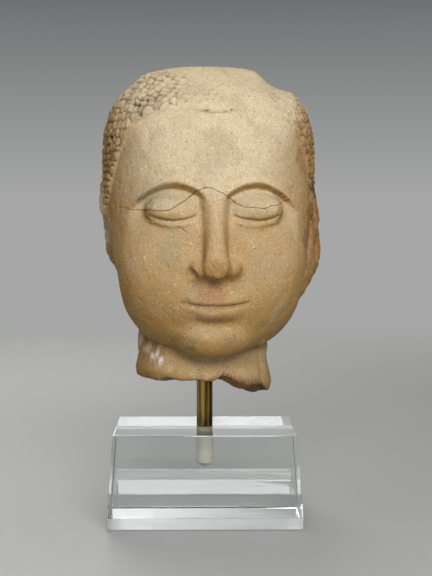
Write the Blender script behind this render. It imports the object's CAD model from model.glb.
import math

import bmesh
import bpy
import numpy as np
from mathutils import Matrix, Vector
from mathutils.kdtree import KDTree


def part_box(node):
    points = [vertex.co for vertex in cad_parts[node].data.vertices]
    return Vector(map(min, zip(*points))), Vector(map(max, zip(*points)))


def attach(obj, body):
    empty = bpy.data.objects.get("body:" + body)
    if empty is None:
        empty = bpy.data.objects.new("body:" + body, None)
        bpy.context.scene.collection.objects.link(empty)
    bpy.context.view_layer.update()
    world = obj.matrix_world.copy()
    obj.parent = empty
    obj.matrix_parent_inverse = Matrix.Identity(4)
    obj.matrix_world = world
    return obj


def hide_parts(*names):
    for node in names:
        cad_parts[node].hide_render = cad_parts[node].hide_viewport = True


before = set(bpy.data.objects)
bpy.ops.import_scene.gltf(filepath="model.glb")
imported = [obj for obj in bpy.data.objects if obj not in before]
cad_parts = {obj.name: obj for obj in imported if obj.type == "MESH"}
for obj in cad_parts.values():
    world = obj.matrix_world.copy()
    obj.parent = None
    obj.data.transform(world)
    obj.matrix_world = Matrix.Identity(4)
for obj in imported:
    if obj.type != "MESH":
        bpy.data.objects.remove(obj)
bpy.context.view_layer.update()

mm = 0.001
headHigh = np.array(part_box("stone_head")[1]) / mm
rodLow, rodHigh = (np.array(corner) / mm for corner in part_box("mount_rod"))
blockLow, blockHigh = (np.array(corner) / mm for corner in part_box("acrylic_block"))


# Small helpers for shapes. A distance is negative inside the stone and positive outside it.

def fade(start, end, value):
    t = np.clip((value - start) / (end - start), 0, 1)
    return t * t * (3 - 2 * t)


# One at nought, falling away on both sides.
def bump(value, width):
    return np.exp(-(value / width) ** 2)


# Joins two forms with a rounded valley between them.
def blend(a, b, radius):
    h = np.maximum(radius - np.abs(a - b), 0) / radius
    return np.minimum(a, b) - h * h * radius / 4


# Takes the tool away from a form, with its edge rounded.
def carve(a, tool, radius):
    return -blend(-a, tool, radius)


def ellipsoid(x, y, z, rx, ry, rz):
    inner = np.sqrt((x / rx) ** 2 + (y / ry) ** 2 + (z / rz) ** 2)
    outer = np.sqrt((x / rx ** 2) ** 2 + (y / ry ** 2) ** 2 + (z / rz ** 2) ** 2)
    return inner * (inner - 1) / np.maximum(outer, 1e-9)


# A round bar along the middle of the face, from one place and radius to another.
def ridge(x, y, z, start, end, flat):
    (y0, z0, r0), (y1, z1, r1) = start, end
    dy, dz = y1 - y0, z1 - z0
    t = np.clip(((y - y0) * dy + (z - z0) * dz) / (dy * dy + dz * dz), 0, 1)
    away = np.sqrt((x / flat) ** 2 + (y - y0 - t * dy) ** 2 + (z - z0 - t * dz) ** 2)
    return away - (r0 + t * (r1 - r0))


def linear(hexColour):
    channels = [int(hexColour[i:i + 2], 16) / 255 for i in (0, 2, 4)]
    return (*[c / 12.92 if c <= 0.04045 else ((c + 0.055) / 1.055) ** 2.4 for c in channels], 1)


# Random values on a lattice, for bumps whose size is given in millimetres.
latticeSize = 32
lattice = np.random.default_rng(11).random((latticeSize,) * 3) * 2 - 1


def noiseAt(points, size, shift=0.0):
    p = points / size + 17.3 + shift * 5.17
    base = np.floor(p).astype(int)
    f = p - base
    f = f * f * (3 - 2 * f)
    total = np.zeros(len(points))
    for corner in range(8):
        step = np.array([corner & 1, corner >> 1 & 1, corner >> 2 & 1])
        weight = np.prod(np.where(step, f, 1 - f), axis=1)
        i, j, k = ((base + step) % latticeSize).T
        total += weight * lattice[i, j, k]
    return total


def roughAt(points, size, shift=0.0, octaves=3):
    return sum(noiseAt(points, size / 2 ** i, shift + i) / 2 ** i for i in range(octaves))


# The stone head: broad form

head = {
    "height": 225.0,          # chin to crown
    "faceHalfWidth": 77.0,
    "middleY": 12,
    "axisX": 3.5,             # the head's middle stands a little beside the rod
    "turn": math.radians(3),
    "hairRelief": 2.0,        # how far the hair's ground stands above the brow
    "heart": np.array([0.0, 3.0, 246.0]),  # rays from here find the surface
    "reach": (40.0, 190.0),   # nearest and farthest that it can be
    "halvings": 20,
    "cells": 76,
    "pull": np.array([0.0, -0.2, 0.08]),   # draws the cells together on the face
}
crownZ = headHigh[2]
chinZ = crownZ - head["height"]
hairlineZ = crownZ - head["height"] / 6
faceThird = (hairlineZ - chinZ) / 3
browZ = hairlineZ - faceThird
noseZ = chinZ + faceThird
mouthZ = noseZ - faceThird / 3
eyeZ = chinZ + head["height"] / 2
eyeX = 2 * head["faceHalfWidth"] / 5

skullShape = {
    "halfWidth": 81,
    "halfDepth": 90,
    "ringSquareness": 2.1,
    "widest": 77,             # below the crown
    "topHeight": 71,
    "topSquareness": 2.8,
    "lowHeight": 116,
    "lowSquareness": 2.15,
    "roundingZ": 264,         # a wide ellipsoid that takes the corners off the crown
    "rounding": (160, 93, 91),
    "roundingEdge": 12,
}


def skull(x, y, z):
    level = z - (crownZ - skullShape["widest"])
    back = y - head["middleY"]
    above = level > 0
    size = np.where(above, skullShape["topHeight"], skullShape["lowHeight"])
    squareness = np.where(above, skullShape["topSquareness"], skullShape["lowSquareness"])
    power = skullShape["ringSquareness"]
    ring = ((np.abs(x) / skullShape["halfWidth"]) ** power
            + (np.abs(back) / skullShape["halfDepth"]) ** power) ** (1 / power)
    reach = (ring ** squareness + (np.abs(level) / size) ** squareness) ** (1 / squareness)
    dome = np.sqrt(x * x + back ** 2 + level ** 2) * (1 - 1 / np.maximum(reach, 1e-6))
    rx, ry, rz = skullShape["rounding"]
    upper = z - skullShape["roundingZ"]
    rounding = (np.sqrt((x / rx) ** 2 + (back / ry) ** 2 + (upper / rz) ** 2) - 1) * rz
    return carve(dome, -rounding, skullShape["roundingEdge"])


# Rounded masses of the face: distance from the middle, y, z, their half-sizes, and how softly they join.
faceForms = {
    "jaw": (0, -20, chinZ + 44, 66, 54, 45, 14),
    "cheeks": (33, -40, noseZ + 8, 36, 33, 40, 18),
    "mouth": (0, -46, mouthZ + 5.5, 33, 30, 27, 15),
    "chin": (0, -52, chinZ + 15, 26, 20, 15, 13),
}


def faceMasses(x, y, z):
    side = np.abs(x)
    d = ellipsoid(x, y + 4, z - 229, head["faceHalfWidth"], 75, 97)
    for middleX, middleY, middleZ, rx, ry, rz, join in faceForms.values():
        d = blend(d, ellipsoid(side - middleX, y - middleY, z - middleZ, rx, ry, rz), join)
    return d


eyeShape = {
    "browHeight": 6,          # above the brow line, at the middle of each eye
    "browArch": 13.5,         # how far it falls over the next value
    "browReach": 28,
    "socketDepth": 5.2,
    "browEdge": 0.9,
    "ball": (20.5, 17.5, 13.5),
    "lashDrop": 7.7,          # below the eye's middle
    "lidStep": 1.0,
    "slit": 1.2,
    "lowerFold": 0.8,
}


def carveEyes(d, x, y, z, front):
    side = np.abs(x)
    across = side - eyeX
    arch = eyeShape["browArch"] * (across / eyeShape["browReach"]) ** 2
    below = browZ + eyeShape["browHeight"] - arch - z
    socket = fade(5, 13, side) * fade(66, 50, side) * front
    d = d + eyeShape["socketDepth"] * fade(-1.6, 3.6, below) * fade(30, 6, below) * socket
    d = d - eyeShape["browEdge"] * bump(below + 1.8, 3) * socket
    d = blend(d, ellipsoid(across, y + 61, z - (eyeZ - 1), *eyeShape["ball"]), 4)
    lash = eyeZ - eyeShape["lashDrop"] + 0.013 * across ** 2
    lid = fade(19, 14.5, np.abs(across)) * front
    d = d - eyeShape["lidStep"] * fade(-0.4, 1.0, z - lash) * fade(15, 2, z - lash) * lid
    d = d + eyeShape["slit"] * bump(z - lash + 0.6, 1.0) * lid
    return d - eyeShape["lowerFold"] * bump(z - lash + 4.6, 1.8) * lid


# The worn end of the nose, cut off on a slant.
def noseBreak(x, y, z):
    return y + 0.12 * x + 0.3 * (z - noseZ) + 95


def addNose(d, x, y, z):
    side = np.abs(x)
    nose = ridge(x, y, z, (-73.5, browZ - 4, 7.2), (-87, noseZ + 11.5, 10), 0.85)
    tip = ellipsoid(x, y + 90, z - (noseZ + 9), 9.8, 9.5, 9)
    wings = ellipsoid(side - 11.8, y + 79, z - (noseZ + 6), 6.8, 10, 7.2)
    nostrils = ellipsoid(side - 6.2, y + 86, z - (noseZ - 1.7), 3.4, 6, 3.6)
    chip = ellipsoid(x + 18.5, y + 84, z - (noseZ + 2), 5.5, 6, 5)
    d = blend(d, blend(blend(nose, tip, 6), wings, 5), 7)
    d = carve(d, nostrils, 2)
    d = carve(d, noseBreak(x, y, z), 2.5)
    return carve(d, chip, 1.2)


def addMouth(d, x, y, z, front):
    side = np.abs(x)
    wrap, lift = 0.011 * x * x, 0.0045 * x * x   # the lips follow the curve of the face
    channel = bump(x, 3.4) * fade(mouthZ + 5, mouthZ + 9, z) * fade(noseZ + 1, noseZ - 4, z)
    underLip = bump(x, 19) * bump(z - (mouthZ - 15), 6)
    d = d + 1.0 * channel * front
    d = d + 2.6 * underLip * front
    upper = ellipsoid(side - 7.5, y + 73.5 - wrap, z - lift - (mouthZ + 3), 18.5, 8.2, 5)
    lower = ellipsoid(x, y + 73.3 - wrap, z - lift - (mouthZ - 5.6), 20.5, 8.2, 5.6)
    d = blend(d, blend(upper, lower, 1.2), 4.5)
    return d + 1.8 * bump(z - lift - (mouthZ - 1), 1.0) * fade(27.5, 23, side) * front


rightEar = {
    "side": 1,
    "x": 79,
    "y": 12,
    "z": 217,
    "thick": 9.5,
    "wide": 20,
    "tall": 50,
    "turn": 0.4,
    "lean": 0.0,
    "lobe": 15,       # how far the lobe's end draws in towards the jaw
    "groove": 2.2,    # depth of the cut between the ear and the cheek
}
leftEar = {
    "side": -1,
    "x": 74.5,
    "y": 17,
    "z": 228,
    "thick": 8.5,
    "wide": 17,
    "tall": 45,
    "turn": 0.2,
    "lean": 0.13,
    "lobe": 9,
    "groove": 0.8,
}


def ear(x, y, z, shape):
    w = z - shape["z"]
    out = x * shape["side"] - shape["x"] - shape["lean"] * w
    back = y - shape["y"] - 0.16 * w
    lobe = np.where(w < 0, shape["lobe"] * (w / shape["tall"]) ** 2, 0)
    u = math.cos(shape["turn"]) * out - math.sin(shape["turn"]) * back + lobe
    v = math.sin(shape["turn"]) * out + math.cos(shape["turn"]) * back
    shell = ellipsoid(u, v, w, shape["thick"], shape["wide"], shape["tall"])
    hollow = ellipsoid(u - shape["thick"] - 1.5, v - 1, w - 8, 7.5, 10, 25)
    fold = ellipsoid(u - shape["thick"] + 3.4, v - 1.5, w - 17, 2.8, 3.2, 15)
    backing = ellipsoid(u + 6, v - 12, w, 9, 16, shape["tall"] - 6)
    return blend(blend(carve(shell, hollow, 2.5), fold, 3), backing, 8)


def ears(x, y, z):
    return np.minimum(ear(x, y, z, rightEar), ear(x, y, z, leftEar))


def addEar(d, x, y, z, shape):
    one = ear(x, y, z, shape)
    gap = bump(d - one, 2.2) * fade(6, 2, one) * (y < shape["y"])
    melt = 1.6 + 9 * fade(shape["z"] - 22, shape["z"] - 44, z)   # the lobe runs out into the jaw
    return blend(d, one, melt) + shape["groove"] * gap


# Height of the hair's edge, by the angle round the head from the middle of the brow.
hairEdgeDegrees = [0, 20, 34, 44, 51, 57, 63, 70, 78, 95, 115, 140, 180]
hairEdgeZ = [318, 319, 317, 310, 298, 283, 266, 250, 240, 226, 206, 190, 184]


def aboveHairEdge(x, y, z):
    degrees = np.degrees(np.arctan2(np.abs(x), head["middleY"] - y))
    return z - np.interp(degrees, hairEdgeDegrees, hairEdgeZ)


crown = {
    "mound": 4.2,         # the worn stump of the topknot
    "flake": 4.4,         # lost beside it
    "flakeX": 52,
    "crispX": 4,          # the hair's edge is sharp only about here
    "crispReach": 15,
}


def addHair(d, x, y, z):
    wear = 1 - bump(x - crown["crispX"], crown["crispReach"]) * fade(-20, -45, y)
    above = aboveHairEdge(x, y, z) + 0.8
    d = d - head["hairRelief"] * fade(-0.8 - 1.4 * wear, 0.8 + 2.2 * wear, above)
    top = fade(crownZ - 45, crownZ - 15, z)
    mound = fade(-66, -42, x) * fade(46, 33, x) * fade(-42, -14, y) * fade(88, 56, y)
    flake = bump(x - crown["flakeX"], 10) * fade(100, 40, np.abs(y + 5))
    return d + (crown["flake"] * flake - crown["mound"] * mound) * top


neck = {
    "x": -4.8,
    "y": 9,
    "halfWidth": 51.3,
    "halfDepth": 54,
    "top": 185,           # it runs up into the head to here
    "breakZ": 113,
    "breakEdge": 2.2,
    "tongue": 12.5,       # how much farther it reaches down on the right
    "slant": 5.5,
    "chinGroove": 2.2,
}


def neckRound(x, y, z):
    across = (x - neck["x"]) / neck["halfWidth"]
    along = (y - neck["y"]) / neck["halfDepth"]
    around = (np.sqrt(across ** 2 + along ** 2) - 1) * 51
    leftSwell = 2.6 * bump(z - 120, 5) * fade(-30, -50, x)
    rightSwell = 2.4 * fade(130, 112, z) * fade(25, 50, x)
    return around - leftSwell - rightSwell + 1.6 * np.sin(x / 17 + z / 9) * np.cos(y / 19 - z / 12)


# How far the front edge of the break stands above the stone behind it.
def neckSlant(x, y):
    fromFront = fade(10, 0.5, -neckRound(x, y, 108))
    return neck["slant"] * fromFront * fade(0, 10, x) * fade(47, 38, x) * fade(6, -14, y)


def neckBreakAt(x, y):
    waves = 1.4 * np.sin(x / 11 + 1) * np.cos(y / 17) + 0.02 * x
    tongue = neck["tongue"] * fade(-2, 38, x) * fade(54, 46, x) * fade(36, -10, y)
    return neck["breakZ"] + waves - tongue + neckSlant(x, y)


def addNeck(d, x, y, z):
    column = carve(neckRound(x, y, z), neck["top"] - z, 8)
    groove = bump(d - column, 2.2) * fade(172, 156, z)
    d = blend(d, column, 1.5) + neck["chinGroove"] * groove
    return carve(d, z - neckBreakAt(x, y), neck["breakEdge"])


def headSurface(points):
    x, y, z = points.T
    front = fade(-20, -45, y)
    d = blend(skull(x, y, z), faceMasses(x, y, z), 14)
    d = carveEyes(d, x, y, z, front)
    d = addNose(d, x, y, z)
    d = addMouth(d, x, y, z, front)
    d = addHair(d, x, y, z)
    for shape in (rightEar, leftEar):
        d = addEar(d, x, y, z, shape)
    return addNeck(d, x, y, z)


def surfaceAlong(directions):
    inside, outside = (np.full(len(directions), distance) for distance in head["reach"])
    for _ in range(head["halvings"]):
        middle = (inside + outside) / 2
        within = headSurface(head["heart"] + directions * middle[:, None]) < 0
        inside = np.where(within, middle, inside)
        outside = np.where(within, outside, middle)
    return head["heart"] + directions * inside[:, None]


def normalsAt(points):
    steps = 0.35 * np.eye(3)
    sides = [headSurface(points + step) - headSurface(points - step) for step in steps]
    normals = np.stack(sides, axis=1)
    return normals / np.maximum(np.linalg.norm(normals, axis=1), 1e-9)[:, None]


# The stone head: fine relief

curls = {
    "spacing": 5.3,
    "ringRadius": 96,    # they are laid out in rings on a ball like this, then moved onto the stone
    "rowRadius": 92,
    "lowest": 128,       # degrees down from the crown
    "height": 2.2,
    "groove": 1.8,       # width of the cut between neighbours
    "pit": 2.6,          # width of the drilled pit where three of them meet
    "pitDepth": 3.0,
    "placeSeed": 3,
    "heightSeed": 5,
}
crack = {
    "line": [(-68, 246), (-55, 244.2), (-41, 243.5), (-27, 243), (-14.6, 251), (-7, 257), (-0.5, 260.3),
             (6, 259.5), (13, 256.2), (22.6, 249.6), (28.6, 246), (42.7, 245), (55, 248), (64.6, 251.8)],
    "short": [(-21, 232.5), (-17, 230), (-12.5, 227)],
    "width": 0.4,
    "depth": 0.8,
    "reach": 62,         # beyond this far to either side it dies out
}


def distanceToLine(x, z, line):
    nearest = np.full(len(x), 1e9)
    for (x0, z0), (x1, z1) in zip(line, line[1:]):
        dx, dz = x1 - x0, z1 - z0
        t = np.clip(((x - x0) * dx + (z - z0) * dz) / (dx ** 2 + dz ** 2), 0, 1)
        nearest = np.minimum(nearest, np.hypot(x - x0 - t * dx, z - z0 - t * dz))
    return nearest


def crackDistance(points):
    x = points[:, 0] + 0.5 * noiseAt(points, 3.5, 3)
    z = points[:, 2] + 0.6 * noiseAt(points, 4.5, 4)
    distance = np.minimum(distanceToLine(x, z, crack["line"]), distanceToLine(x, z, crack["short"]))
    return np.where(points[:, 1] < -20, distance, 99)


def curlCentres():
    random = np.random.default_rng(curls["placeSeed"])
    rings = []
    ringStep = curls["spacing"] / curls["ringRadius"]
    for row, polar in enumerate(np.arange(ringStep / 2, math.radians(curls["lowest"]), ringStep)):
        girth = 2 * math.pi * curls["rowRadius"] * math.sin(polar)
        count = max(int(girth / curls["spacing"]), 3)
        stagger = 0.5 * (row % 2)
        turn = (np.arange(count) + stagger + random.uniform(-0.3, 0.3, count)) * 2 * math.pi / count
        dip = polar + ringStep * random.uniform(-0.28, 0.28, count)
        outward = np.sin(dip)
        rings.append(np.stack([outward * np.sin(turn), -outward * np.cos(turn), np.cos(dip)], axis=1))
    centres = surfaceAlong(np.concatenate(rings))
    x, y, z = centres.T
    return centres[(aboveHairEdge(x, y, z) > 1.2) & (ears(x, y, z) > 1.5)]


# How well the curls are kept: crisp low on the left, at the right temple and behind, and rubbed down
# elsewhere.
def hairCrispness(points):
    x, y, z = points.T
    left = fade(-12, -54, x) * fade(356, 340, z)
    rightSide = 0.75 * fade(60, 76, x)
    back = 0.6 * fade(25, 60, y)
    patches = 0.3 * roughAt(points, 16, 7)
    return np.clip(np.maximum(np.maximum(left, rightSide), back) + 0.22 + patches, 0.1, 1)


# Each point looks for its three nearest curls: the first two give the groove, the third the pit.
def curlRelief(points, hair):
    centres = curlCentres()
    tree = KDTree(len(centres))
    for i, centre in enumerate(centres):
        tree.insert(centre, i)
    tree.balance()
    heights = np.random.default_rng(curls["heightSeed"]).uniform(0.35, 1.05, len(centres))
    lump = np.zeros(len(points))
    pit = np.zeros(len(points))
    warped = points + 1.3 * np.stack([noiseAt(points, 4.2, shift) for shift in (21, 22, 23)], axis=1)
    for i in np.nonzero(hair > 0.02)[0]:
        (_, which, first), (_, _, second), (_, _, third) = tree.find_n(warped[i], 3)
        side = min((second - first) / curls["groove"], 1)
        domed = 1 - 0.5 * min(first / curls["spacing"], 1) ** 2
        lump[i] = heights[which] * side * (2 - side) * domed
        pit[i] = max(1 - (third - first) / curls["pit"], 0)
    return lump, pit * fade(-0.45, 0.3, noiseAt(points, 8, 31))


# Stains on the front, in x and z: middle, half-width, half-height, colour, strength, softness of edge.
stains = [
    (-47, 116, 9, 6, "A9763C", 0.6, 0.8),      # rust at the break
    (-40, 131, 12, 6, "9A5F45", 0.45, 0.8),    # red under the pale crust
    (-50, 141, 2, 5, "D5C2AC", 0.8, 0.3),      # the crust runs down to the right in flecks
    (-45, 134.5, 3, 2.5, "DCCDB9", 0.8, 0.3),
    (-39, 130.5, 4, 2, "E4D9C8", 0.9, 0.3),
    (-33, 127, 4, 1.8, "F1EBE0", 1.0, 0.3),
    (-26, 122.5, 2.5, 2, "CDBC82", 0.7, 0.3),
    (46, 131, 4, 12, "D2BC98", 0.5, 0.4),
    (-37, 254, 19, 9, "A5A28A", 0.45, 1.4),    # grey-green bloom
    (-26, 216, 8, 15, "8F8A6C", 0.4, 1.2),
    (36, 246, 16, 7, "9B9379", 0.3, 1.4),
    (4, 184, 13, 8, "A06A4C", 0.5, 1.2),       # warm iron stain
    (8, 166, 18, 5, "9E7450", 0.35, 1.2),
    (-16, 147, 9, 6, "78664A", 0.4, 1.2),
    (17, 145, 8, 6, "78664A", 0.4, 1.2),
    (-83, 240, 8, 34, "D8CBAE", 0.4, 0.7),     # flecks on the worn ear
    (88, 222, 10, 44, "8A5A30", 0.65, 0.8),    # raw stone on the broken ear
    (89, 262, 7, 7, "3F3527", 0.75, 0.6),
    (-80, 300, 10, 40, "7E6038", 0.4, 1.0),    # dirt among the curls
    (-62, 322, 18, 14, "9A7A4C", 0.15, 1.0),
    (80, 296, 10, 30, "8E6236", 0.5, 0.9),
    (26, 106, 20, 5, "6B5334", 0.35, 0.6),     # the slanting break is darker
]


def stainLayer(points):
    # Each stain is laid over the ones before; the colours come out already weighted by their cover.
    tint = np.zeros((len(points), 4))
    x, y, z = points.T
    ragged = 0.9 * roughAt(points, 9, 12, 4)
    for middleX, middleZ, halfWidth, halfHeight, colour, strength, softness in stains:
        spread = ((x - middleX) / halfWidth) ** 2 + ((z - middleZ) / halfHeight) ** 2
        share = strength * fade(1 + softness / 2, 1 - softness / 2, spread + ragged) * fade(40, 25, y)
        tint += (np.array(linear(colour)) - tint) * share[:, None]
    return tint


print("form functions ready")


# A cube's grid blown up into a ball of directions, which the stone's surface is then found along.
def cubeSphere(cells):
    bm = bmesh.new()
    bmesh.ops.create_cube(bm, size=2)
    bmesh.ops.subdivide_edges(bm, edges=bm.edges[:], cuts=cells - 1, use_grid_fill=True)
    for vert in bm.verts:
        ray = Vector(math.tan(v * math.pi / 4) for v in vert.co).normalized()
        vert.co = (ray + Vector(head["pull"])).normalized()
    return bm


# Cuts the wanted faces in four, so that the mesh is fine only where there is fine carving.
def refine(bm, wanted):
    centres = np.array([face.calc_center_median().normalized() for face in bm.faces])
    chosen = wanted(surfaceAlong(centres))
    edges = {edge for face, keep in zip(bm.faces, chosen) if keep for edge in face.edges}
    bmesh.ops.subdivide_edges(bm, edges=list(edges), cuts=1, use_grid_fill=True)
    # A corner with only two edges would fold flat once the faces are cut into triangles.
    pinched = [vert for vert in bm.verts if len(vert.link_edges) == 2]
    bmesh.ops.dissolve_verts(bm, verts=pinched)
    for vert in bm.verts:
        vert.co.normalize()


def isCarving(points):
    x, y, z = points.T
    side = np.abs(x)
    front = y < -45
    hairEdge = front & (np.abs(aboveHairEdge(x, y, z)) < 4) & (np.abs(x - 3) < 25)
    eye = front & (np.abs(side - eyeX) < 21) & (z > eyeZ - 13) & (z < eyeZ + 19)
    lips = front & (side < 31) & (z > mouthZ - 12) & (z < mouthZ + 10)
    nose = front & (side < 21) & (z > noseZ - 4) & (z < noseZ + 16)
    hair = aboveHairEdge(x, y, z) > -2
    leftHair = hair & (x < -18) & (y < 22) & (z < 352)
    rightHair = hair & (x > 62) & (y < 5)
    backHair = hair & (y > 20)
    neckFront = (z < 150) & (y < 10)
    return hairEdge | eye | lips | nose | leftHair | rightHair | backHair | neckFront


def turned(points):
    cos, sin = math.cos(head["turn"]), math.sin(head["turn"])
    x, y, z = points.T
    return np.stack([cos * x - sin * y + head["axisX"], sin * x + cos * y, z], axis=1)


relief = {
    "broken": 1.5,       # all in mm, above or below the smooth form
    "wear": 0.4,
    "coarseGrain": 0.2,
    "ear": 1.7,
    "noseTip": 0.7,
    "pits": 0.6,
    "edgeLine": 0.7,
}


# The height of the fine relief at each point, and where each kind of surface lies.
def headRelief(points, normals):
    x, y, z = points.T
    edge = aboveHairEdge(x, y, z)
    earShare = fade(2.6, 0.8, ears(x, y, z))
    under = fade(3.0, 0.0, z - neckBreakAt(x, y))
    slant = under * fade(0.5, 2, neckSlant(x, y))
    hair = fade(-0.6, 1.4, edge) * (1 - earShare) * (1 - under)
    lump, pit = curlRelief(points, hair)
    crisp = hairCrispness(points)
    crisp = crisp * fade(0, 6 - 5 * fade(0.5, 0.9, crisp), edge)
    edgeLine = bump(edge + 1.4, 1.0) * fade(17, 6, np.abs(x - 1)) * fade(-20, -45, y)
    noseTip = fade(2.2, 0.4, np.abs(noseBreak(x, y, z)))
    noseTip = noseTip * fade(14, 9, np.abs(x)) * fade(16, 10, np.abs(z - noseZ - 9))

    offset = hair * crisp * (curls["height"] * (lump - 0.35) - curls["pitDepth"] * pit)
    offset += under * relief["broken"] * roughAt(points, 15, 1, 3)
    offset += relief["wear"] * roughAt(points, 24, 2, 3)
    offset += relief["coarseGrain"] * noiseAt(points, 2.6, 6)
    offset += earShare * relief["ear"] * roughAt(points, 9, 14, 4)
    offset += noseTip * relief["noseTip"] * roughAt(points, 5, 15, 3)
    offset -= relief["pits"] * fade(0.3, 0.75, noiseAt(points, 5.5, 9)) * (1 - 0.7 * hair)
    offset -= relief["edgeLine"] * edgeLine
    placed = turned(points)
    gap = crackDistance(placed)
    alive = fade(crack["reach"] + 6, crack["reach"] - 22, np.abs(placed[:, 0]))
    offset -= crack["depth"] * fade(crack["width"], 0.0, gap) * (0.4 + 0.6 * alive)

    facing = fade(0.1, 0.75, 0.6 * normals[:, 2] - 0.6 * normals[:, 1])
    gaps = hair * crisp * np.clip(0.75 * (1 - lump) ** 2 + pit, 0, 1)
    return offset, {
        "hollow": np.maximum(gaps, 0.6 * edgeLine + 0.4 * slant),
        "broken": np.maximum(under, 0.15 * noseTip),
        "rubbed": facing * (0.3 + 0.7 * fade(215, 290, z)),
        "crack": fade(0.42, 0.1, gap) * (0.3 + 0.5 * alive),
    }


def makeHeadMesh():
    bm = cubeSphere(head["cells"])
    refine(bm, isCarving)
    for nearCrack in (1.6, 0.7):
        refine(bm, lambda points: crackDistance(turned(points)) < nearCrack)
    directions = np.array([vert.co for vert in bm.verts], float)
    print("head grid:", len(bm.faces), "faces")
    points = surfaceAlong(directions)
    normals = normalsAt(points)
    offset, layers = headRelief(points, normals)
    placed = turned(points + normals * offset[:, None])
    for vert, place in zip(bm.verts, placed * mm):
        vert.co = place
    mesh = bpy.data.meshes.new("sandstone_head")
    bmesh.ops.recalc_face_normals(bm, faces=bm.faces[:])
    bm.to_mesh(mesh)
    bm.free()
    mesh.shade_smooth()
    tint = stainLayer(placed)
    for name, values in {"stainCover": tint[:, 3], **layers}.items():
        layer = mesh.attributes.new(name, "FLOAT", "POINT")
        layer.data.foreach_set("value", values.astype(np.float32))
    layer = mesh.attributes.new("stain", "FLOAT_VECTOR", "POINT")
    layer.data.foreach_set("vector", tint[:, :3].astype(np.float32).ravel())
    return mesh


headMesh = makeHeadMesh()
headPiece = bpy.data.objects.new("sandstone_head", headMesh)
bpy.context.scene.collection.objects.link(headPiece)
triangles = sum(len(face.vertices) - 2 for face in headMesh.polygons)
print("head made:", len(headMesh.polygons), "faces,", triangles, "triangles")


# Materials


def addNode(tree, kind, settings=None, inputs=None):
    node = tree.nodes.new(kind)
    for name, value in (settings or {}).items():
        setattr(node, name, value)
    for name, value in (inputs or {}).items():
        if isinstance(value, bpy.types.NodeSocket):
            tree.links.new(value, node.inputs[name])
        else:
            node.inputs[name].default_value = value
    return node


def newMaterial(name, settings):
    material = bpy.data.materials.new(name)
    material.use_nodes = True
    shader = material.node_tree.nodes["Principled BSDF"]
    for socket, value in settings.items():
        shader.inputs[socket].default_value = value
    return material, material.node_tree, shader


# Weathered sandstone, carved with points and chisels and worn by the hand and the rain: a dry, open
# grain with no gloss, buff where it is rubbed and browner where dust has lodged.
sandstone = {
    "buff": "CFBE9F",
    "golden": "A9834B",
    "grey": "A0967C",
    "dust": "4A3418",
    "fresh": "977048",
    "paleFleck": "E6DCC6",
    "crackDirt": "4A3820",
    "roughness": 0.92,
    "specular": 0.25,
    # Size in mm, detail, roughness. Real grains are about 0.4 mm, drawn coarser so that they show.
    "patterns": {
        "blotch": (38.0, 3.0, 0.55),
        "greyPatch": (21.0, 4.0, 0.55),
        "mottle": (6.0, 4.0, 0.7),
        "ragged": (3.5, 4.0, 0.7),
        "grain": (1.0, 2.0, 0.7),
        "paleFleck": (2.3, 2.0, 0.55),
        "darkFleck": (3.1, 2.0, 0.55),
        "wear": (4.0, 4.0, 0.65),
    },
    # Between which two values a pattern shows, and how much of it at each.
    "shares": {
        "rubbing": (0.3, 1.15, 0.0, 1.0),
        "greyPatch": (0.5, 0.72, 0.0, 0.5),
        "mottle": (0.3, 0.7, 0.0, 0.3),
        "ragged": (0.38, 0.52, 0.35, 1.0),
        "hollow": (0.1, 0.85, 0.0, 0.85),
        "grain": (0.25, 0.75, 0.68, 1.3),
        "paleFleck": (0.66, 0.72, 0.0, 0.4),
        "darkFleck": (0.67, 0.74, 0.0, 0.5),
    },
    "scratchWidth": 0.9,   # upright marks of the claw chisel
    "scratchStretch": 0.07,
}


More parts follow.
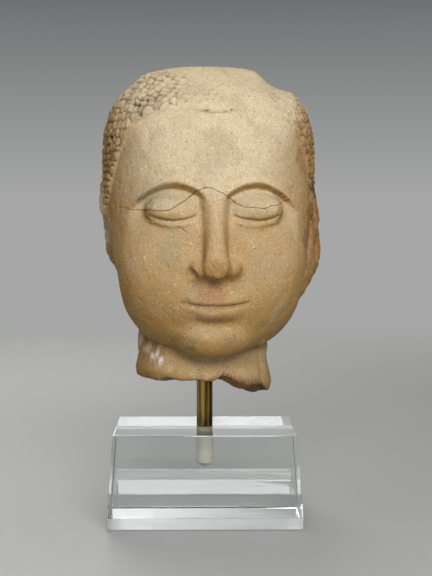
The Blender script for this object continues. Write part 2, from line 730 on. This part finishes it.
def sandstoneMaterial():
    material, tree, shader = newMaterial("weatheredSandstone", {
        "Roughness": sandstone["roughness"], "Specular IOR Level": sandstone["specular"]})
    coords = addNode(tree, "ShaderNodeTexCoord").outputs["Object"]
    values = {}
    for name in ("rubbed", "broken", "stainCover", "hollow", "crack"):
        values[name] = addNode(tree, "ShaderNodeAttribute", {"attribute_name": name}).outputs["Fac"]
    for name, (size, detail, roughness) in sandstone["patterns"].items():
        values[name] = addNode(tree, "ShaderNodeTexNoise", inputs={
            "Vector": coords, "Scale": 1 / (size * mm),
            "Detail": detail, "Roughness": roughness}).outputs["Fac"]
    values["rubbing"] = addNode(tree, "ShaderNodeMath", {"operation": "MULTIPLY_ADD"}, {
        0: values["blotch"], 1: 0.6, 2: values["rubbed"]}).outputs[0]
    shares = {}
    for name, (low, high, start, end) in sandstone["shares"].items():
        shares[name] = addNode(tree, "ShaderNodeMapRange", inputs={
            "Value": values[name], "From Min": low, "From Max": high,
            "To Min": start, "To Max": end}).outputs["Result"]

    # The stains' colours come ready weighted, so the stone is darkened under them and they are added.
    stain = addNode(tree, "ShaderNodeAttribute", {"attribute_name": "stain"}).outputs["Vector"]
    cover = addNode(tree, "ShaderNodeMath", {"operation": "MULTIPLY"}, {
        0: values["stainCover"], 1: shares["ragged"]}).outputs[0]
    stain = addNode(tree, "ShaderNodeMix", {"data_type": "RGBA", "blend_type": "MULTIPLY"}, {
        0: 1.0, 6: stain, 7: shares["ragged"]}).outputs[2]
    colour = linear(sandstone["golden"])
    for share, over, how in (
            (shares["rubbing"], linear(sandstone["buff"]), "MIX"),
            (shares["greyPatch"], linear(sandstone["grey"]), "MIX"),
            (shares["mottle"], linear(sandstone["golden"]), "MIX"),
            (values["broken"], linear(sandstone["fresh"]), "MIX"),
            (cover, linear("000000"), "MIX"),
            (1.0, stain, "ADD"),
            (shares["hollow"], linear(sandstone["dust"]), "MIX"),
            (1.0, shares["grain"], "MULTIPLY"),
            (shares["paleFleck"], linear(sandstone["paleFleck"]), "MIX"),
            (shares["darkFleck"], linear(sandstone["dust"]), "MIX"),
            (values["crack"], linear(sandstone["crackDirt"]), "MIX")):
        colour = addNode(tree, "ShaderNodeMix", {"data_type": "RGBA", "blend_type": how}, {
            0: share, 6: colour, 7: over}).outputs[2]
    tree.links.new(colour, shader.inputs["Base Color"])

    upright = addNode(tree, "ShaderNodeMapping", inputs={
        "Vector": coords, "Scale": (1, 1, sandstone["scratchStretch"])}).outputs[0]
    scratches = addNode(tree, "ShaderNodeTexNoise", inputs={
        "Vector": upright, "Scale": 1 / (sandstone["scratchWidth"] * mm), "Detail": 2.0}).outputs["Fac"]
    fine = addNode(tree, "ShaderNodeBump", inputs={
        "Strength": 0.7, "Distance": 0.5 * mm, "Height": values["grain"]})
    combed = addNode(tree, "ShaderNodeBump", inputs={
        "Strength": 0.35, "Distance": 0.5 * mm, "Height": scratches, "Normal": fine.outputs[0]})
    worn = addNode(tree, "ShaderNodeBump", inputs={
        "Strength": 0.6, "Distance": 1.0 * mm, "Height": values["wear"], "Normal": combed.outputs[0]})
    tree.links.new(worn.outputs[0], shader.inputs["Normal"])
    return material


# Half-inch brass rod, drawn and left to dull: metal, with fine marks along its length from the die.
brass = {
    "bright": "BFA05E",
    "dull": "54421F",
    "roughness": 0.2,
    "dieMark": 0.5,        # mm across
    "dieStretch": 0.04,
    "streak": 3.2,
    "streakStretch": 0.012,
    "sides": 96,
    "chamfer": 0.6,
}


def brassMaterial():
    material, tree, shader = newMaterial("dulledBrass", {
        "Metallic": 1.0, "Roughness": brass["roughness"]})
    coords = addNode(tree, "ShaderNodeTexCoord").outputs["Object"]
    along = addNode(tree, "ShaderNodeMapping", inputs={
        "Vector": coords, "Scale": (1, 1, brass["dieStretch"])}).outputs[0]
    marks = addNode(tree, "ShaderNodeTexNoise", inputs={
        "Vector": along, "Scale": 1 / (brass["dieMark"] * mm), "Detail": 2.0})
    streaky = addNode(tree, "ShaderNodeMapping", inputs={
        "Vector": coords, "Scale": (1, 1, brass["streakStretch"])}).outputs[0]
    tarnish = addNode(tree, "ShaderNodeTexNoise", inputs={
        "Vector": streaky, "Scale": 1 / (brass["streak"] * mm), "Detail": 3.0})
    dullness = addNode(tree, "ShaderNodeMapRange", inputs={
        "Value": tarnish.outputs["Fac"], "From Min": 0.43, "From Max": 0.57})
    mix = addNode(tree, "ShaderNodeMix", {"data_type": "RGBA"}, {
        0: dullness.outputs[0], 6: linear(brass["bright"]), 7: linear(brass["dull"])})
    tree.links.new(mix.outputs[2], shader.inputs["Base Color"])
    roughness = addNode(tree, "ShaderNodeMapRange", inputs={
        "Value": tarnish.outputs["Fac"],
        "To Min": brass["roughness"] - 0.08, "To Max": brass["roughness"] + 0.12})
    tree.links.new(roughness.outputs[0], shader.inputs["Roughness"])
    lines = addNode(tree, "ShaderNodeBump", inputs={
        "Strength": 0.2, "Distance": 0.05 * mm, "Height": marks.outputs["Fac"]})
    tree.links.new(lines.outputs[0], shader.inputs["Normal"])
    return material


# Cast acrylic, sawn, milled and flame polished: clear, with bright edges and a few fine scratches.
acrylic = {
    "clear": "F7FAFA",
    "sawn": "CDD0CE",
    "grime": "C4B788",
    "epoxyShade": "E2D8BE",
    "epoxyLight": "FBF8EE",
    "ior": 1.49,
    "skirt": 10.0,         # height of the straight band at the foot
    "taper": 4.7,          # how far each side leans in above it
    "edge": 0.8,
    "holeGap": 0.3,
    "holeMargin": 5,       # how far the cutting tool stands out at the top
    "tipRadius": 0.4,
    "pointAngle": 118,
    "hairline": 0.9,       # widths of the marks, in mm
    "sawMark": 1.1,
    "grimeSize": 14,
    "epoxyCloud": 2.5,
}


def acrylicMaterial():
    material, tree, shader = newMaterial("clearCastAcrylic", {
        "Base Color": linear(acrylic["clear"]), "Roughness": 0.0,
        "IOR": acrylic["ior"], "Transmission Weight": 1.0})
    coords = addNode(tree, "ShaderNodeTexCoord").outputs["Object"]
    stretched = addNode(tree, "ShaderNodeMapping", inputs={
        "Vector": coords, "Rotation": (0.3, 0.2, 0.5), "Scale": (0.08, 0.08, 1)}).outputs[0]
    hairlines = addNode(tree, "ShaderNodeTexNoise", inputs={
        "Vector": stretched, "Scale": 1 / (acrylic["hairline"] * mm), "Detail": 2.0})
    scratches = addNode(tree, "ShaderNodeMapRange", inputs={
        "Value": hairlines.outputs["Fac"],
        "From Min": 0.66, "From Max": 0.74, "To Min": 0.01, "To Max": 0.12})
    tree.links.new(scratches.outputs[0], shader.inputs["Roughness"])
    return material


# The bottom band is left as the saw cut it: frosted, with fine marks along the cut.
def sawnMaterial():
    material, tree, shader = newMaterial("sawnCastAcrylic", {
        "Base Color": linear(acrylic["sawn"]), "Roughness": 0.5,
        "IOR": acrylic["ior"], "Transmission Weight": 0.7})
    coords = addNode(tree, "ShaderNodeTexCoord").outputs["Object"]
    along = addNode(tree, "ShaderNodeMapping", inputs={
        "Vector": coords, "Scale": (0.03, 0.03, 1)}).outputs[0]
    marks = addNode(tree, "ShaderNodeTexNoise", inputs={
        "Vector": along, "Scale": 1 / (acrylic["sawMark"] * mm), "Detail": 4.0})
    frost = addNode(tree, "ShaderNodeMapRange", inputs={
        "Value": marks.outputs["Fac"], "From Min": 0.3, "From Max": 0.7, "To Min": 0.3, "To Max": 0.65})
    grime = addNode(tree, "ShaderNodeTexNoise", inputs={
        "Vector": coords, "Scale": 1 / (acrylic["grimeSize"] * mm), "Detail": 4.0})
    share = addNode(tree, "ShaderNodeMapRange", inputs={
        "Value": grime.outputs["Fac"], "From Min": 0.58, "From Max": 0.75, "To Max": 0.5})
    mix = addNode(tree, "ShaderNodeMix", {"data_type": "RGBA"}, {
        0: share.outputs[0], 6: linear(acrylic["sawn"]), 7: linear(acrylic["grime"])})
    cut = addNode(tree, "ShaderNodeBump", inputs={
        "Strength": 0.4, "Distance": 0.2 * mm, "Height": marks.outputs["Fac"]})
    tree.links.new(mix.outputs[2], shader.inputs["Base Color"])
    tree.links.new(frost.outputs[0], shader.inputs["Roughness"])
    tree.links.new(cut.outputs[0], shader.inputs["Normal"])
    return material


# The drilled hole's wall, frosted by the drill and filled with cream epoxy round the rod.
def holeMaterial():
    material, tree, shader = newMaterial("epoxyInDrilledHole", {"Roughness": 0.75})
    coords = addNode(tree, "ShaderNodeTexCoord").outputs["Object"]
    rings = addNode(tree, "ShaderNodeMapping", inputs={
        "Vector": coords, "Scale": (0.3, 0.3, 1)}).outputs[0]
    cloud = addNode(tree, "ShaderNodeTexNoise", inputs={
        "Vector": rings, "Scale": 1 / (acrylic["epoxyCloud"] * mm), "Detail": 4.0})
    mix = addNode(tree, "ShaderNodeMix", {"data_type": "RGBA"}, {
        0: cloud.outputs["Fac"], 6: linear(acrylic["epoxyShade"]), 7: linear(acrylic["epoxyLight"])})
    tree.links.new(mix.outputs[2], shader.inputs["Base Color"])
    return material


headMesh.materials.append(sandstoneMaterial())
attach(headPiece, "root")
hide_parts("stone_head")
print("head finished")


# Rod and block


def meshPiece(name, bm, materials):
    bmesh.ops.recalc_face_normals(bm, faces=bm.faces[:])
    mesh = bpy.data.meshes.new(name)
    bm.to_mesh(mesh)
    bm.free()
    for material in materials:
        mesh.materials.append(material)
    piece = bpy.data.objects.new(name, mesh)
    bpy.context.scene.collection.objects.link(piece)
    return piece


def ringOfVerts(bm, radius, z, sides):
    angles = [2 * math.pi * i / sides for i in range(sides)]
    return [bm.verts.new((radius * math.cos(a) * mm, radius * math.sin(a) * mm, z * mm)) for a in angles]


# Walls between rings of corners, one above the other, and a lid at each end.
def joinRings(bm, rings):
    for low, high in zip(rings, rings[1:]):
        for i, vert in enumerate(low):
            after = (i + 1) % len(low)
            bm.faces.new((vert, low[after], high[after], high[i]))
    bm.faces.new(rings[0])
    bm.faces.new(rings[-1])


def smoothByAngle(piece, degrees):
    piece.data.shade_smooth()
    sharp = math.radians(degrees)
    bm = bmesh.new()
    bm.from_mesh(piece.data)
    for edge in bm.edges:
        edge.smooth = len(edge.link_faces) == 2 and edge.calc_face_angle() < sharp
    bm.to_mesh(piece.data)
    bm.free()


def makeRod():
    bm = bmesh.new()
    radius = (rodHigh[0] - rodLow[0]) / 2
    chamfer = brass["chamfer"]
    rings = [ringOfVerts(bm, r, z, brass["sides"]) for r, z in (
        (radius - chamfer, rodLow[2]), (radius, rodLow[2] + chamfer),
        (radius, rodHigh[2] - chamfer), (radius - chamfer, rodHigh[2]))]
    joinRings(bm, rings)
    rod = meshPiece("brass_rod", bm, [brassMaterial()])
    smoothByAngle(rod, 30)
    return rod


def makeBlock():
    # The outside is three rectangles, one above the other; the hole is cut by a second mesh.
    width, depth, height = blockHigh - blockLow
    bm = bmesh.new()
    rings = []
    for inset, z in ((0, 0), (0, acrylic["skirt"]), (acrylic["taper"], height)):
        x, y = width / 2 - inset, depth / 2 - inset
        rings.append([bm.verts.new((sx * x * mm, sy * y * mm, z * mm)) for sx, sy in
                      ((-1, -1), (1, -1), (1, 1), (-1, 1))])
    joinRings(bm, rings)
    bmesh.ops.bevel(bm, geom=bm.edges[:], offset=acrylic["edge"] * mm, segments=2,
                    affect="EDGES", profile=0.5)
    for face in bm.faces:
        level = face.calc_center_median().z / mm
        face.material_index = 2 if acrylic["edge"] < level < acrylic["skirt"] - acrylic["edge"] else 0
    block = meshPiece("clear_block", bm, [acrylicMaterial(), holeMaterial(), sawnMaterial()])

    bm = bmesh.new()
    radius = (rodHigh[0] - rodLow[0]) / 2 + acrylic["holeGap"]
    shoulder = rodLow[2] - acrylic["holeGap"]
    point = radius / math.tan(math.radians(acrylic["pointAngle"] / 2))
    wall = [ringOfVerts(bm, r, z, brass["sides"]) for r, z in (
        (acrylic["tipRadius"], shoulder - point + 0.3), (radius, shoulder),
        (radius, height + acrylic["holeMargin"]))]
    joinRings(bm, wall)
    for face in bm.faces:
        face.material_index = 1
        face.smooth = True
    drill = meshPiece("drill", bm, block.data.materials[:])
    cut = block.modifiers.new("hole", "BOOLEAN")
    cut.operation = "DIFFERENCE"
    cut.solver = "EXACT"
    cut.object = drill
    applyModifiers(block)
    smoothByAngle(block, 20)
    bpy.data.objects.remove(drill)
    return block


def applyModifiers(piece):
    depsgraph = bpy.context.evaluated_depsgraph_get()
    mesh = bpy.data.meshes.new_from_object(piece.evaluated_get(depsgraph))
    piece.modifiers.clear()
    old = piece.data
    piece.data = mesh
    bpy.data.meshes.remove(old)
    mesh.name = piece.name


rod = makeRod()
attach(rod, "root")
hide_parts("mount_rod")
block = makeBlock()
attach(block, "root")
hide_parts("acrylic_block")
print("rod and block made")


# Studio

studio = {
    "floor": "A6A6A3",
    "floorRoughness": 0.65,
    "floorSize": 8.0,
    "floorDrop": 0.3,           # a hair under the block, so that the two faces don't coincide
    "floorReach": (0.6, 1.9),   # over this distance the floor melts into the backdrop, in metres
    "horizon": "A6A7A6",
    "room": "696C6D",
    "climb": 0.14,              # how far up the backdrop darkens to the room's grey
    "cameraPlace": (-0.0056, -1.163, 0.2518),
    "cameraTilt": -3.455,       # degrees, downwards
    "cameraTurn": 0.72,         # degrees, to the right
    "lens": 92.1,
    # Each light's place, what it points at, its size in metres, and its power in watts.
    "lights": {
        "frontSoftbox": ((0.2, -1.4, 0.9), (0, -0.05, 0.24), (0.9, 0.6), 23.3),
        "overhead": ((0, 0.2, 1.9), (0, 0.2, 0), (2.4, 2.4), 13),
        "backFill": ((-0.5, 1.7, 0.9), (0, 0, 0.25), (1.0, 0.8), 12),
        # Low behind, for the gloss on top of the block.
        "blockSheen": ((0.05, 2.0, 0.41), (0, 0, 0.06), (1.6, 0.12), 0.4),
    },
}


def makeFloor():
    size = studio["floorSize"] / 2
    bm = bmesh.new()
    low = -studio["floorDrop"] * mm
    corners = ((-1, -1), (1, -1), (1, 1), (-1, 1))
    bm.faces.new([bm.verts.new((x * size, y * size, low)) for x, y in corners])
    material, tree, shader = newMaterial("paleTable", {"Roughness": studio["floorRoughness"]})
    coords = addNode(tree, "ShaderNodeTexCoord").outputs["Object"]
    cloud = addNode(tree, "ShaderNodeTexNoise", inputs={"Vector": coords, "Scale": 2.0})
    tone = addNode(tree, "ShaderNodeMapRange", inputs={
        "Value": cloud.outputs["Fac"], "To Min": 0.98, "To Max": 1.02})
    mix = addNode(tree, "ShaderNodeMix", {"data_type": "RGBA", "blend_type": "MULTIPLY"}, {
        0: 1.0, 6: linear(studio["floor"]), 7: tone.outputs[0]})
    tree.links.new(mix.outputs[2], shader.inputs["Base Color"])
    away = addNode(tree, "ShaderNodeVectorMath", {"operation": "LENGTH"}, {0: coords}).outputs["Value"]
    near, far = studio["floorReach"]
    melted = addNode(tree, "ShaderNodeMapRange", {"interpolation_type": "SMOOTHSTEP"}, {
        "Value": away, "From Min": near, "From Max": far, "To Min": 1.0, "To Max": 0.0})
    tree.links.new(melted.outputs[0], shader.inputs["Alpha"])
    floor = meshPiece("studio_floor", bm, [material])


def makeBackdrop():
    world = bpy.data.worlds.new("room")
    world.use_nodes = True
    tree = world.node_tree
    coords = addNode(tree, "ShaderNodeTexCoord").outputs["Generated"]
    height = addNode(tree, "ShaderNodeSeparateXYZ", inputs={"Vector": coords}).outputs["Z"]
    climb = addNode(tree, "ShaderNodeMapRange", inputs={
        "Value": height, "From Min": 0.0, "From Max": studio["climb"]})
    shade = addNode(tree, "ShaderNodeMix", {"data_type": "RGBA"}, {
        0: climb.outputs[0], 6: linear(studio["horizon"]), 7: linear(studio["room"])})
    tree.links.new(shade.outputs[2], tree.nodes["Background"].inputs["Color"])
    bpy.context.scene.world = world


def makeLights():
    for name, (place, target, size, power) in studio["lights"].items():
        light = bpy.data.lights.new(name, "AREA")
        light.shape = "RECTANGLE"
        light.size, light.size_y = size
        light.energy = power
        lamp = bpy.data.objects.new(name, light)
        lamp.location = place
        lamp.rotation_euler = (Vector(target) - Vector(place)).to_track_quat("-Z", "Y").to_euler()
        bpy.context.scene.collection.objects.link(lamp)


def makeCamera():
    camera = bpy.data.objects.new("camera", bpy.data.cameras.new("camera"))
    camera.data.lens = studio["lens"]
    camera.location = studio["cameraPlace"]
    camera.rotation_euler = (
        math.radians(90 + studio["cameraTilt"]), 0, -math.radians(studio["cameraTurn"]))
    bpy.context.scene.collection.objects.link(camera)
    bpy.context.scene.camera = camera


makeFloor()
makeBackdrop()
makeLights()
makeCamera()
bpy.context.scene.view_settings.view_transform = "Standard"
print("studio made")
